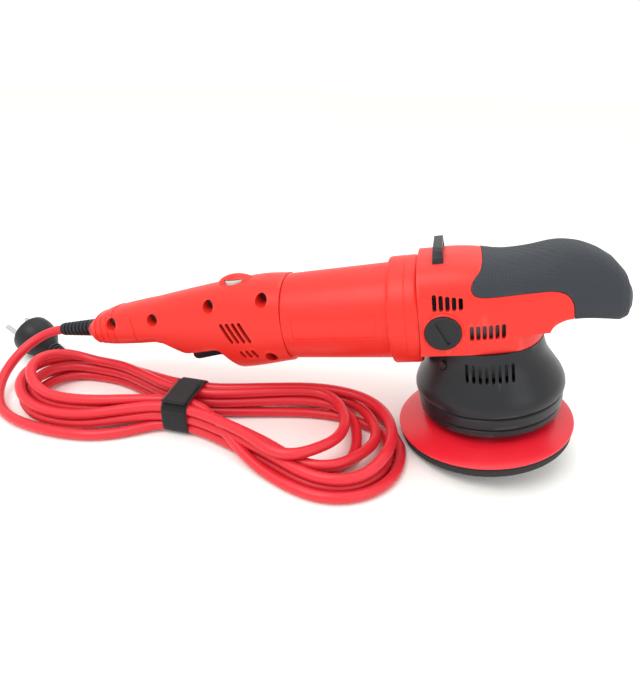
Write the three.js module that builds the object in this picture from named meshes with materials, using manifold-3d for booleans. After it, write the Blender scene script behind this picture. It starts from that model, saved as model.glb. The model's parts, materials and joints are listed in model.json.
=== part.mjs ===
// Dual action polisher: a 125 mm plate on a 15 mm orbit, driven through a bevel gear head by an
// inline motor, with the mains lead tied in a bow beside it. Millimetres, +Z up, +X to the front grip.
// The origin is where the spindle axis meets the hook face of the plate. The machine leans back on
// the rear rim of the plate, so the parts of the machine are drawn upright in a group that is turned.
import * as THREE from 'three';
import { mergeVertices } from 'three/addons/utils/BufferGeometryUtils.js';
import Module from 'manifold-3d';

const wasm = await Module();
wasm.setup();

// ---------------------------------------------------------------- driving dimensions
const LEAN = THREE.MathUtils.degToRad(10.9); // how far the machine leans back
const GAP = 0.3;              // between neighbours that touch
const WALL = 3;               // plastic shells
const SPLIT = 0.15;           // half the gap between the two handle shells

const PLATE_R = 62.5;         // backing plate
const HOOK_R = 59.5;          // hook face
const ORBIT = 7.5;            // eccentric offset, half of a 15 mm orbit
const ORBIT_AT = THREE.MathUtils.degToRad(233); // where the plate stands at rest
const HOOK_TOP = 0.7;
const CUSHION_TOP = 7.7;
const PLATE_BASE = 8;
const PLATE_TOP = 15.4;

const HUB_BASE = 19.5;
const HUB_TOP = 40.7;
const WEIGHT_TOP = 52;
const SPINDLE_R = 7;
const SPINDLE_NECK_R = 6;
const CASE_BASE = 72;         // underside of the gear case
const CASE_TOP = 119.5;
const PINION_TEETH = 8;
const CROWN_TEETH = 32;

const SHROUD_BASE = 20.5;
const SHROUD_TOP = 76.7;
const HEAD_BASE = 77;
const DRUM_R = 36.8;          // round front of the head, about the spindle
const HEAD_REAR = -44;        // seam between head and motor housing

const MOTOR_Z = 97.5;         // armature axis
const SHAFT_R = 4;
const COLLAR_R = 38.5;
const BARREL_R = 34.8;
const BARREL_REAR_R = 32.2;
const BORE_R = 29.6;          // inside the motor housing
const BARREL_REAR = -141;     // seam between motor housing and handle

const DIAL_X = -181;
const DIAL_R = 8.6;
const TRIGGER_PIVOT = [-204.5, 78.5];
const TAIL_END = -319;
const TAIL_Z = 97;
const SLEEVE_TIP = -354;

const CORD_R = 4;
const FLOOR = -Math.sin(LEAN) * (HOOK_R - ORBIT * Math.cos(ORBIT_AT)); // surface it stands on
const CORD_Z = FLOOR + CORD_R + 0.3; // axis of a cord that lies on the surface

// ---------------------------------------------------------------- materials
const paint = (color, roughness, metalness = 0) =>
  new THREE.MeshStandardMaterial({ color, roughness, metalness });
const RED_PLASTIC = paint(0xe0362b, 0.45);
const RED_PLATE = paint(0xe01f30, 0.5);
const RED_CORD = paint(0xdd2233, 0.3);
const BLACK_PLASTIC = paint(0x2c2e33, 0.5);
const RUBBER = paint(0x454a52, 0.85);
const FOAM = paint(0x1d1e20, 0.9);
const HOOKS = paint(0x2a2a2a, 0.95);
const STEEL = paint(0xb9bcc0, 0.3, 1);
const ALUMINIUM = paint(0xa9adb0, 0.45, 1);
const IRON = paint(0x6d7176, 0.5, 0.9);
const COPPER = paint(0xb5713a, 0.4, 0.9);
const BRASS = paint(0xc9a24f, 0.35, 1);
const CARBON = paint(0x1a1a1c, 0.7);
const WEBBING = paint(0x1b1b1d, 0.95);
const PALE_PLASTIC = paint(0xe9e7df, 0.5);

// ---------------------------------------------------------------- making solids
// A geometry whose vertices are shared, without empty triangles, with its faces turned outwards.
function welded(geometry) {
  const g = geometry.clone();
  g.deleteAttribute('normal');
  g.deleteAttribute('uv');
  const m = mergeVertices(g, 1e-4);
  const index = [];
  for (let i = 0; i < m.index.count; i += 3) {
    const [a, b, c] = [0, 1, 2].map((k) => m.index.getX(i + k));
    if (a !== b && b !== c && c !== a) index.push(a, b, c);
  }
  if (signedVolume(m.attributes.position, index) < 0) index.reverse();
  m.setIndex(index);
  return m;
}

function signedVolume(position, index) {
  const [a, b, c] = [new THREE.Vector3(), new THREE.Vector3(), new THREE.Vector3()];
  let volume = 0;
  for (let i = 0; i < index.length; i += 3) {
    a.fromBufferAttribute(position, index[i]);
    b.fromBufferAttribute(position, index[i + 1]);
    c.fromBufferAttribute(position, index[i + 2]);
    volume += a.dot(b.cross(c));
  }
  return volume;
}

function solid(geometry) {
  const m = welded(geometry);
  return new wasm.Manifold(new wasm.Mesh({
    numProp: 3,
    vertProperties: new Float32Array(m.attributes.position.array),
    triVerts: new Uint32Array(m.index.array),
  }));
}

function asGeometry(piece) {
  const mesh = piece.getMesh();
  const g = new THREE.BufferGeometry();
  g.setAttribute('position', new THREE.BufferAttribute(new Float32Array(mesh.vertProperties), 3));
  g.setIndex(new THREE.BufferAttribute(new Uint32Array(mesh.triVerts), 1));
  return g;
}

const joined = (...pieces) => pieces.reduce((all, piece) => all.add(piece));
const cut = (body, ...tools) => tools.reduce((left, tool) => left.subtract(tool), body);

// A profile of [radius, height] points turned about Z, closed on the axis or on itself.
function turned(profile, sides = 24) {
  const points = profile.map(([r, h]) => new THREE.Vector2(r, h));
  const onAxis = profile[0][0] === 0 && profile[profile.length - 1][0] === 0;
  if (!onAxis) points.push(points[0].clone());
  return new THREE.LatheGeometry(points, sides).rotateX(Math.PI / 2);
}

// The same about an axis along X through the armature axis, heights becoming x.
const turnedX = (profile, sides = 24) =>
  turned(profile, sides).rotateY(Math.PI / 2).translate(0, 0, MOTOR_Z);
const ring = (inner, outer, from, to) => [[inner, from], [outer, from], [outer, to], [inner, to]];
const disc = (radius, from, to) => [[0, from], [radius, from], [radius, to], [0, to]];

// A block between two opposite corners.
function block([x0, y0, z0], [x1, y1, z1]) {
  return new THREE.BoxGeometry(x1 - x0, y1 - y0, z1 - z0)
    .translate((x0 + x1) / 2, (y0 + y1) / 2, (z0 + z1) / 2);
}

// A rod along Y, X or Z.
function rodY(radius, x, z, y0, y1, sides = 14) {
  return new THREE.CylinderGeometry(radius, radius, y1 - y0, sides).translate(x, (y0 + y1) / 2, z);
}

function shapeOf(points) {
  return new THREE.Shape(points.map(([a, b]) => new THREE.Vector2(a, b)));
}

const slab = (shape, from, to, curveSegments = 14) =>
  new THREE.ExtrudeGeometry(shape, { depth: to - from, bevelEnabled: false, curveSegments })
    .translate(0, 0, from);

// An outline in the XZ plane carried across Y.
const across = (points, y0, y1) => slab(shapeOf(points), -y1, -y0).rotateX(Math.PI / 2);

// A body whose section changes along X: each station is [x, half width, top, bottom], its outline a
// rounded rectangle drawn by a superellipse. Both halves meet at the height of the armature axis.
function lofted(stations, { power = 2.5, sides = 18, inset = 0, waist = MOTOR_Z } = {}) {
  const g = new THREE.CylinderGeometry(1, 1, 1, sides, stations.length - 1);
  const p = g.attributes.position;
  const round = (v) => Math.sign(v) * Math.abs(v) ** (2 / power);
  for (let i = 0; i < p.count; i += 1) {
    const row = Math.round((0.5 - p.getY(i)) * (stations.length - 1));
    const [x, halfWidth, top, bottom] = stations[row];
    const across1 = round(p.getX(i)) * (halfWidth - inset);
    const up = round(p.getZ(i));
    const height = up > 0 ? top - inset - waist : waist - bottom - inset;
    p.setXYZ(i, x, across1, waist + up * height);
  }
  return g;
}

const part = (name, shape, material) => {
  const g = shape.isBufferGeometry ? asGeometry(solid(shape)) : asGeometry(shape);
  g.computeVertexNormals();
  const mesh = new THREE.Mesh(g, material);
  mesh.name = name;
  return mesh;
};

// ---------------------------------------------------------------- plate, turning on the eccentric
function plateParts() {
  const group = new THREE.Group();
  group.position.set(ORBIT * Math.cos(ORBIT_AT), ORBIT * Math.sin(ORBIT_AT), 0);
  const bore = 5;
  const plate = [[3.1, PLATE_BASE], [61.8, PLATE_BASE], [PLATE_R, 8.7], [PLATE_R, 9.8],
    [58, 10.9], [44, 14.2], [20, PLATE_TOP], [3.1, PLATE_TOP]];
  const cushion = [[bore, 1], [60.6, 1], [61.9, CUSHION_TOP], [bore, CUSHION_TOP]];
  const screw = [[0, 6.2], [2.2, 6.2], [2.2, 4.2], [4.6, 4.2], [4.6, CUSHION_TOP],
    [2.7, CUSHION_TOP], [2.7, 27], [0, 27]];
  const shaft = [[0, 27.5], [3, 27.5], [3, PLATE_TOP + GAP], [9, PLATE_TOP + GAP], [9, 18.5],
    [6, 18.5], [6, 36], [0, 36]];
  group.add(
    part('backing_plate', turned(plate, 28), RED_PLATE),
    part('plate_cushion', turned(cushion, 28), FOAM),
    part('hook_disc', turned(ring(bore, HOOK_R, 0, HOOK_TOP), 28), HOOKS),
    part('plate_screw', turned(screw, 12), STEEL),
    part('plate_shaft', turned(shaft, 14), STEEL),
  );
  return group;
}

// ---------------------------------------------------------------- eccentric and spindle
function counterweight() {
  const shape = new THREE.Shape();
  const middle = ORBIT_AT + Math.PI;
  const spread = THREE.MathUtils.degToRad(78);
  shape.absarc(0, 0, 36, middle - spread, middle + spread);
  shape.absarc(0, 0, 15, middle + spread, middle - spread + 2 * Math.PI);
  shape.holes.push(new THREE.Path().absarc(0, 0, SPINDLE_R + GAP, 0, 2 * Math.PI, true));
  return slab(shape, HUB_TOP + GAP, WEIGHT_TOP, 12);
}

function eccentricHub() {
  const body = solid(turned([[0, HUB_BASE], [24, HUB_BASE], [24, HUB_TOP], [0, HUB_TOP]], 24));
  const pocket = turned([[0, HUB_BASE - 1], [13.3, HUB_BASE - 1], [13.3, 34.3], [8, 34.3],
    [8, 37.5], [0, 37.5]], 18);
  pocket.translate(ORBIT * Math.cos(ORBIT_AT), ORBIT * Math.sin(ORBIT_AT), 0);
  return cut(body, solid(pocket));
}

function crownGear() {
  const bore = SPINDLE_NECK_R + GAP;
  let gear = solid(turned([[bore, 76], [14, 76], [24, 82], [24, 87.8], [14, 87.8], [12, 89.5],
    [bore, 89.5]], 20));
  for (let i = 0; i < CROWN_TEETH; i += 1) {
    const tooth = block([15, -0.9, 87], [23.6, 0.9, 90.6]).rotateZ(2 * Math.PI * i / CROWN_TEETH);
    gear = gear.add(solid(tooth));
  }
  return gear;
}

function eccentricParts() {
  const group = new THREE.Group();
  const spindle = [[0, HUB_TOP + GAP], [SPINDLE_R, HUB_TOP + GAP], [SPINDLE_R, 75.7],
    [SPINDLE_NECK_R, 75.7], [SPINDLE_NECK_R, 117], [0, 117]];
  const bearing = turned(ring(6.3, 13, 22, 34), 18)
    .translate(ORBIT * Math.cos(ORBIT_AT), ORBIT * Math.sin(ORBIT_AT), 0);
  group.add(
    part('eccentric_hub', eccentricHub(), STEEL),
    part('plate_bearing', bearing, STEEL),
    part('counterweight', counterweight(), IRON),
    part('spindle', turned(spindle, 16), STEEL),
    part('crown_gear', crownGear(), STEEL),
  );
  return group;
}

// ---------------------------------------------------------------- armature, turning in the motor
// A wheel outline with teeth or slots, as alternating radii.
function toothedOutline(count, tip, root, share) {
  const at = (turn, r) => [r * Math.cos(turn), r * Math.sin(turn)];
  const step = 2 * Math.PI / count;
  const points = [];
  for (let i = 0; i < count; i += 1) {
    points.push(at(i * step, root), at((i + share) * step, root));
    points.push(at((i + share) * step, tip), at((i + 1) * step, tip));
  }
  return shapeOf(points);
}

const alongX = (shape, from, to) =>
  slab(shape, from, to).rotateY(Math.PI / 2).translate(0, 0, MOTOR_Z);

function withBore(shape, radius) {
  shape.holes.push(new THREE.Path().absarc(0, 0, radius, 0, 2 * Math.PI, true));
  return shape;
}

function coolingFan() {
  let fan = solid(turnedX([[SHAFT_R + GAP, -62], [9, -62], [9, -60.5], [27.5, -60.5], [27.5, -59],
    [8, -57], [8, -53], [SHAFT_R + GAP, -53]], 16));
  for (let i = 0; i < 7; i += 1) {
    const blade = block([-59.5, 9, -0.6], [-53.5, 27, 0.6]).rotateX(2 * Math.PI * i / 7);
    fan = fan.add(solid(blade.translate(0, 0, MOTOR_Z)));
  }
  return fan;
}

// The slotted stack with the ends of its windings.
function woundCore(bore) {
  return joined(
    solid(alongX(withBore(toothedOutline(10, 18.6, 15.5, 0.3), bore), -116, -74)),
    solid(turnedX(ring(bore, 16.5, -75, -67), 14)),
    solid(turnedX(ring(bore, 15.2, -122.5, -115), 14)),
  );
}

function armatureParts() {
  const group = new THREE.Group();
  const shaft = [[0, -150], [SHAFT_R, -150], [SHAFT_R, -28], [3, -28], [3, -13], [0, -13]];
  const bore = SHAFT_R + GAP;
  group.add(
    part('armature_shaft', turnedX(shaft, 14), STEEL),
    part('pinion', alongX(withBore(toothedOutline(PINION_TEETH, 6.2, 4.9, 0.5), 3.3), -25, -13.5), STEEL),
    part('cooling_fan', coolingFan(), BLACK_PLASTIC),
    part('armature_core', woundCore(bore), IRON),
    part('commutator', turnedX(ring(bore, 10.5, -138, -124), 16), COPPER),
  );
  return group;
}

// ---------------------------------------------------------------- stator and brushes
// A sector of a tube about the armature axis, opening half an angle each side of straight up.
function sector(inner, outer, halfAngle, from, to) {
  const shape = new THREE.Shape();
  const up = Math.PI; // turned along X, this angle points to +Z
  shape.absarc(0, 0, outer, up - halfAngle, up + halfAngle);
  shape.absarc(0, 0, inner, up + halfAngle, up - halfAngle, true);
  return slab(shape, from, to, 6).rotateY(Math.PI / 2);
}

function statorCore() {
  const tube = solid(turnedX(ring(26.5, 29.2, -116, -74), 22));
  const pole = () => sector(19.2, 27, 0.78, -116, -74);
  const upper = solid(pole().translate(0, 0, MOTOR_Z));
  const lower = solid(pole().rotateX(Math.PI).translate(0, 0, MOTOR_Z));
  return joined(tube, upper, lower);
}

function fieldCoil(turn) {
  const place = (g) => solid(g.rotateX(turn).translate(0, 0, MOTOR_Z));
  const outside = place(sector(20, 26.1, 1.25, -122.5, -67.5));
  const window = place(sector(15, 30, 0.80, -116.3, -73.7));
  return cut(outside, window);
}

function brushParts(name, side) {
  const z = MOTOR_Z;
  const span = (a, b) => (side > 0 ? [a, b] : [-b, -a]);
  const [h0, h1] = span(12.5, 27);
  const holder = cut(
    solid(block([-136, h0, z - 5], [-126.5, h1, z + 5])),
    solid(block([-134.5, h0 - 1, z - 3.5], [-128, h1 + 1, z + 3.5])),
  );
  const [b0, b1] = span(11, 24);
  return [
    part(`brush_holder_${name}`, holder, BRASS),
    part(`carbon_brush_${name}`, block([-134.2, b0, z - 3.2], [-128.3, b1, z + 3.2]), CARBON),
  ];
}

function rearBracket() {
  return turnedX([[9.3, -147], [28.5, -147], [28.5, -139.8], [6, -139.8], [6, -141.2], [9.3, -141.2]], 20);
}

function motorParts() {
  const group = new THREE.Group();
  group.add(
    part('stator_core', statorCore(), IRON),
    part('field_coil_upper', fieldCoil(0), COPPER),
    part('field_coil_lower', fieldCoil(Math.PI), COPPER),
    ...brushParts('right', -1),
    ...brushParts('left', 1),
    part('motor_bearing_front', turnedX(ring(SHAFT_R + GAP, 11, -40, -31), 16), STEEL),
    part('motor_bearing_rear', turnedX(ring(SHAFT_R + GAP, 9, -147.5, -141.5), 16), STEEL),
    part('rear_bracket', rearBracket(), BLACK_PLASTIC),
  );
  return group;
}

// ---------------------------------------------------------------- gear case and shroud
// Plan of the gear case: round about the spindle in front, square behind.
function headPlan(radius, rear) {
  const shape = new THREE.Shape();
  shape.moveTo(rear, -radius);
  shape.lineTo(0, -radius);
  shape.absarc(0, 0, radius, -Math.PI / 2, Math.PI / 2);
  shape.lineTo(rear, radius);
  return shape;
}

function gearCase() {
  const body = joined(
    solid(turned(disc(30.5, CASE_BASE, 78), 24)),
    solid(slab(headPlan(30, HEAD_REAR + GAP), HEAD_BASE + GAP, 107)),
    solid(turned(disc(20, 105, CASE_TOP), 20)),
  );
  const gears = solid(turned([[0, 71], [27, 71], [27, 104.5], [13.3, 104.5], [13.3, 115.3], [8, 115.3],
    [8, 117.5], [0, 117.5]], 20));
  const frontBearing = solid(turnedX([[0, -50], [11.3, -50], [11.3, -29.7], [8, -29.7], [8, -20],
    [0, -20]], 16));
  return cut(body, gears, frontBearing);
}

const SCREW_TURN = THREE.MathUtils.degToRad(139); // shroud screws, each side of the front
const SHROUD_SCREW_Z = 65;

// A radial screw profile for the shroud, or the hole that it needs.
function radialScrew(turn, head, shank, from, seat, to) {
  const profile = [[0, from], [shank, from], [shank, seat], [head, seat], [head, to], [0, to]];
  return turned(profile, 10).rotateY(Math.PI / 2).rotateZ(turn).translate(0, 0, SHROUD_SCREW_Z);
}

function bearingPlate() {
  const plate = solid(turned([[17.8, 57.7], [33.3, 57.7], [33.3, 71.7], [10, 71.7], [10, 69.3],
    [17.8, 69.3]], 28));
  const holes = [1, -1].map((side) => solid(radialScrew(side * SCREW_TURN, 1.8, 1.8, 25, 40, 45)));
  return cut(plate, ...holes);
}

function shroud() {
  const outside = [[50, SHROUD_BASE], [50, 25], [48.8, 26.4], [51, 27.8], [51, 34.5], [49.8, 36],
    [52.3, 38], [52.3, 41.5], [49.8, 48], [43.5, 58], [39.5, 66], [37.2, SHROUD_TOP]];
  const inside = [[31.5, SHROUD_TOP], [31.5, 72.2], [35, 72.2], [38, 63], [46.8, 48],
    [46.8, SHROUD_BASE]];
  const bell = solid(turned([...outside, ...inside], 24));
  const slots = [];
  for (let i = 0; i < 8; i += 1) {
    const x = -14.6 + 4.15 * i;
    slots.push(solid(block([x - 0.95, -60, 58.6], [x + 0.95, -30, 70])));
  }
  const holes = [1, -1].flatMap((side) => [
    solid(radialScrew(side * SCREW_TURN, 3.5, 1.8, 30, 38.6, 48))]);
  return cut(bell, ...slots, ...holes);
}

function gearHeadParts() {
  const group = new THREE.Group();
  const screw = (side) => radialScrew(side * SCREW_TURN, 3.1, 1.5, 26, 38.9, 41);
  group.add(
    part('gear_case', gearCase(), ALUMINIUM),
    part('bearing_plate', bearingPlate(), ALUMINIUM),
    part('spindle_bearing_lower', turned(ring(SPINDLE_R + GAP, 17.5, 58, 69), 20), STEEL),
    part('spindle_bearing_upper', turned(ring(SPINDLE_NECK_R + GAP, 13, 107, 115), 18), STEEL),
    part('shroud', shroud(), BLACK_PLASTIC),
    part('shroud_screw_right', screw(-1), STEEL),
    part('shroud_screw_left', screw(1), STEEL),
  );
  return group;
}

// ---------------------------------------------------------------- head cover, front grip, bail
// Head and nose: half width, top and bottom along the machine.
const HEAD_STATIONS = [[HEAD_REAR + GAP / 2, 36.5, 138.3, 40], [-20, 36.5, 138.3, 40],
  [-6, 36.3, 136.8, 42], [10, 34.6, 134, 48], [26, 32, 134.8, 60], [44, 29.8, 137.5, 80],
  [57, 28.8, 135.6, 91], [68, 27.4, 130.6, 90.5], [77, 24.8, 124, 88.5], [83, 20.5, 116.5, 90],
  [86.5, 12, 108, 92]];
const GRIP_EDGE = [[-9.5, 150], [-5.5, 141], [-9, 127], [-8.5, 120], [-5, 115.2], [1, 112.8],
  [12, 112], [44, 112], [50.5, 109.5], [54, 104], [55.5, 97], [55.5, 80], [100, 80], [100, 150]];
const UNDER_NOSE = [[DRUM_R, 50], [DRUM_R, 86], [40.5, 91], [47, 93], [58, 93.4], [58, 50]];

function headOutside() {
  const body = solid(lofted(HEAD_STATIONS, { power: 2.8, sides: 18 }));
  const below = solid(block([-60, -50, 40], [100, 50, HEAD_BASE]));
  const corner = cut(
    solid(block([0, -45, 60], [60, 45, 88])),
    solid(turned(disc(DRUM_R, 50, 95), 28)),
  );
  return cut(body, below, corner, solid(across(UNDER_NOSE, -50, 50)));
}

function slotsAcross(count, first, pitch, width, z0, z1) {
  return Array.from({ length: count }, (_, i) => {
    const x = first + pitch * i;
    return solid(block([x - width / 2, -45, z0], [x + width / 2, 45, z1]));
  });
}

const CAP_X = -28.7;
const CAP_Z = 94.5;
const CORE_INSET = 3.2;

function headCover(outside) {
  const rubber = solid(across(GRIP_EDGE, -60, 60));
  const core = solid(lofted(HEAD_STATIONS, { power: 2.8, sides: 18, inset: CORE_INSET }));
  const shell = joined(cut(outside, rubber), outside.intersect(core));
  const room = solid(slab(headPlan(33.5, HEAD_REAR - 2), HEAD_BASE - 2, 140))
    .intersect(solid(lofted(HEAD_STATIONS, { power: 2.8, sides: 14, inset: WALL }).translate(-2, 0, 0)));
  return cut(
    shell, room,
    solid(rodY(9.3, CAP_X, CAP_Z, -50, 50, 12)),
    ...slotsAcross(5, -32.8, 3.85, 2, 109, 119.5),
    ...slotsAcross(6, -10.6, 3.9, 2, 89, 97.6),
  );
}

function frontGrip(outside) {
  const edge = GRIP_EDGE.map(([x, z]) => [x + (x < 99 ? GAP : 0), z + (z < 140 ? GAP : 0)]);
  const rubber = solid(across(edge, -60, 60));
  const core = solid(lofted(HEAD_STATIONS, { power: 2.8, sides: 18, inset: CORE_INSET - GAP }));
  return cut(outside.intersect(rubber), core);
}

function restBail() {
  const shape = shapeOf([[-19.5, 120], [-19.5, 137], [-15.5, 145.5], [15.5, 145.5], [19.5, 137],
    [19.5, 120], [15, 120], [15, 136.5], [12.5, 141.5], [-12.5, 141.5], [-15, 136.5], [-15, 120]]);
  const arch = solid(slab(shape, -4, 4).rotateX(Math.PI / 2).rotateZ(Math.PI / 2).translate(-31, 0, 0));
  const head = solid(lofted(HEAD_STATIONS, { power: 2.8, sides: 18, inset: -GAP }));
  return cut(arch, head);
}

function sideCap(side) {
  const slotted = cut(
    solid(rodY(11.7, CAP_X, CAP_Z, 36.9, 38.6, 18)),
    solid(block([-1.1, 37.6, -9], [1.1, 40, 9]).rotateY(0.46).translate(CAP_X, 0, CAP_Z)),
  );
  const plug = solid(rodY(9, CAP_X, CAP_Z, 32, 37.2, 12));
  return asGeometry(joined(slotted, plug)).scale(1, side, 1);
}

function headParts() {
  const group = new THREE.Group();
  const outside = headOutside();
  group.add(
    part('head_cover', headCover(outside), RED_PLASTIC),
    part('front_grip', frontGrip(outside), RUBBER),
    part('rest_bail', restBail(), BLACK_PLASTIC),
    part('side_cap_right', sideCap(-1), BLACK_PLASTIC),
    part('side_cap_left', sideCap(1), BLACK_PLASTIC),
  );
  return group;
}

// ---------------------------------------------------------------- motor housing
function motorHousing() {
  const front = HEAD_REAR - GAP / 2;
  return turnedX([[BARREL_REAR_R, BARREL_REAR + GAP / 2], [BARREL_R, -64.5], [38, -63.5],
    [COLLAR_R, -62], [COLLAR_R, -46], [37.6, front], [18, front], [18, -50], [BORE_R, -50],
    [BORE_R, BARREL_REAR + GAP / 2]], 28);
}

// ---------------------------------------------------------------- handle, two shells
const HANDLE_STATIONS = [[BARREL_REAR - GAP / 2, 32, 130, 64.5], [-160, 31, 131, 61.5],
  [-181, 28.5, 129.6, 58.5], [-200, 25.5, 127.6, 58], [-222, 22.5, 124.8, 62], [-240, 21, 122.2, 72],
  [-254, 20.5, 120, 83], [-272, 20, 117.8, 83.5], [-298, 19.5, 113.8, 84], [-311, 17.5, 109.5, 86],
  [TAIL_END, 11.5, 104, 90.5]];

// What is hollowed out under the rear grip: the belly's rear face, the underside over the trigger
// and the step behind it. A wall moves it inwards.
function underHandle(wall) {
  const points = [[-184.5 + wall, 40], [-186 + wall, 59.5], [-202 + wall * 0.6, 77 + wall],
    [-236, 75.2 + wall], [-250, 88 + wall], [-262, 80], [-262, 40]];
  return solid(across(points, -50, 50));
}

const HANDLE_SCREWS = [[-154.5, 120.5], [-155, 76], [-199, 117], [-251, 108], [-290, 106]]; // x, z

function handleBody(inset, sides) {
  return cut(solid(lofted(HANDLE_STATIONS, { power: 2.3, sides, inset })), underHandle(inset));
}

function handleHood() {
  return solid(new THREE.SphereGeometry(1, 12, 8).scale(15.5, 7.8, 8).translate(DIAL_X, 0, 126.5));
}

function handleWhole() {
  const outside = handleBody(0, 18);
  const bosses = HANDLE_SCREWS.map(([x, z]) => solid(rodY(6, x, z, -40, 40, 8)).intersect(outside));
  const shell = cut(
    joined(outside, handleHood()),
    handleBody(WALL, 12),
    solid(turnedX(disc(29.3, -150, -130), 16)),
  );
  return cut(
    joined(shell, ...bosses),
    solid(block([-233.5, -8.8, 60], [-200, 8.8, 80])),
    solid(rodY(2, ...TRIGGER_PIVOT, -13.5, 13.5, 8)),
    solid(turned(disc(DIAL_R + 0.5, 125.4, 131.6), 16).translate(DIAL_X, 0, 0)),
    solid(turnedX([[0, -330], [7.8, -330], [7.8, -313], [9.6, -313], [9.6, -306], [0, -306]], 16)
      .translate(0, 0, TAIL_Z - MOTOR_Z)),
  );
}

function handleShell(whole, side) {
  const half = side < 0
    ? solid(block([-400, -80, 0], [0, -SPLIT, 200]))
    : solid(block([-400, SPLIT, 0], [0, 80, 200]));
  let shell = whole.intersect(half);
  for (const [x, z] of HANDLE_SCREWS) {
    shell = shell.subtract(solid(rodY(1.9, x, z, -14, 12, 6)));
    if (side < 0) shell = shell.subtract(solid(rodY(4.6, x, z, -60, -10, 10)));
  }
  if (side < 0) {
    for (let i = 0; i < 4; i += 1) {
      shell = shell.subtract(solid(handleSlot(-186.5 + 5.2 * i, 97, 19)));
    }
  } else {
    shell = shell.subtract(solid(rodY(4.4, LOCK_X, LOCK_Z, 10, 40)));
  }
  return shell;
}

// A vent slot that leans with the front of the handle.
function handleSlot(x, z, length) {
  return block([-0.9, -40, -length / 2], [0.9, -15, length / 2]).rotateY(-0.42).translate(x, 0, z);
}

function handleScrew([x, z]) {
  return joined(solid(rodY(3.8, x, z, -12.5, -10.3, 10)), solid(rodY(1.6, x, z, -11, 10, 6)));
}

const LOCK_X = -219;
const LOCK_Z = 92;

function handleParts() {
  const group = new THREE.Group();
  const whole = handleWhole();
  const triggerOutline = [[-230.5, 70], [-229, 67.8], [-226, 67.3], [-206, 70.6], [-201, 69.8],
    [-192.5, 62.6], [-189.8, 61], [-189.2, 61.9], [-203.4, 77.3], [-203.4, 80.5], [-206, 81.8],
    [-209, 81], [-212, 76.8], [-230.5, 76]];
  const trigger = cut(
    solid(across(triggerOutline, -8, 8)),
    solid(rodY(2, ...TRIGGER_PIVOT, -20, 20, 8)),
  );
  const dial = joined(
    solid(turned(disc(DIAL_R, 126.9, 131), 18).translate(DIAL_X, 0, 0)),
    solid(turned(disc(2.5, 122.4, 127.5), 8).translate(DIAL_X, 0, 0)),
  );
  group.add(
    part('handle_shell_right', handleShell(whole, -1), RED_PLASTIC),
    part('handle_shell_left', handleShell(whole, 1), RED_PLASTIC),
    ...HANDLE_SCREWS.map((at, i) => part(`handle_screw_${i + 1}`, handleScrew(at), STEEL)),
    part('trigger', trigger, BLACK_PLASTIC),
    part('trigger_pin', rodY(1.7, ...TRIGGER_PIVOT, -13, 13, 8), STEEL),
    part('lock_button', rodY(4, LOCK_X, LOCK_Z, 17, 25.2), BLACK_PLASTIC),
    part('speed_dial', dial, PALE_PLASTIC),
    part('switch_body', block([-236, -8, 84], [-213, 8, 106]), BLACK_PLASTIC),
    part('speed_module', block([-193, -12, 104], [-168, 12, 122]), BLACK_PLASTIC),
    part('cord_sleeve', cordSleeve(), BLACK_PLASTIC),
  );
  return group;
}

// The tapered strain relief that the lead comes out of.
function cordSleeve() {
  return turnedX([[0, -308], [9.2, -308], [9.2, -312.5], [7.5, -312.5], [7.5, -322], [5.4, SLEEVE_TIP],
    [0, SLEEVE_TIP]], 16).translate(0, 0, TAIL_Z - MOTOR_Z);
}

// ---------------------------------------------------------------- mains lead, tied in a bow
// A flat oval coil on the floor: its middle, half length and half width, turn, band and height.
function ovalCoil({ middle, half, turn, band, height }) {
  const oval = (shape, inset) => shape.absellipse(0, 0, half[0] - inset, half[1] - inset, 0, 2 * Math.PI);
  const shape = oval(new THREE.Shape(), 0);
  shape.holes.push(oval(new THREE.Path(), band));
  return slab(shape, FLOOR, FLOOR + height, 14).rotateZ(turn).translate(middle[0], middle[1], 0);
}

// The places in the row frame of a point of the machine.
const CROSSWAYS = new THREE.Vector3(0, 1, 0);
const fromMachine = (x, y, z) => new THREE.Vector3(x, y, z).applyAxisAngle(CROSSWAYS, -LEAN);

// A round tube along a route of points, its ends square to it.
function tube(points, radius, sides, steps) {
  const places = points.map((p) => new THREE.Vector3(...p));
  const route = new THREE.CatmullRomCurve3(places, false, 'centripetal');
  const section = new THREE.Shape();
  section.absarc(0, 0, radius, 0, 2 * Math.PI);
  return new THREE.ExtrudeGeometry(section, { steps, extrudePath: route, curveSegments: sides / 2 });
}

const STRAP = { from: -241, to: -221, y: [-66, -22], thick: 1.5, height: 32 };
const PLUG_START = [-371, 4, FLOOR + 5.2];
const PLUG_TURN = THREE.MathUtils.degToRad(164);
const PLUG_RISE = THREE.MathUtils.degToRad(17);
const COILS = {
  rear: { middle: [-311, -40], half: [66, 42], turn: 0, band: 26, height: 32 },
  front: { middle: [-138, -52], half: [80, 56], turn: -0.25, band: 30, height: 26 },
};
const sleeveTip = fromMachine(SLEEVE_TIP - GAP, 0, TAIL_Z);
const LEAD_ROUTE = [sleeveTip.toArray(), [-377, -0.5, 25.6], [-388, -6, 20.5], [-396.5, -17, 13.5],
  [-399.5, -32, 6], [-397, -48, -0.5], [-389, -63, -5.5], [-376, -75, CORD_Z], [-358, -83.5, CORD_Z],
  [-336, -88, CORD_Z], [-312, -89, CORD_Z], [-290, -86.5, CORD_Z], [-270, -80, CORD_Z],
  [-260, -74, CORD_Z], [-250.5, -65, CORD_Z + 1]];
const TAIL_ROUTE = [[-318, 6.8, CORD_Z], [-332, 6.2, CORD_Z], [-346, 4.6, CORD_Z],
  [-358, 3.2, CORD_Z + 0.4], [-369.6, 3.6, FLOOR + 4.9]];

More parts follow.
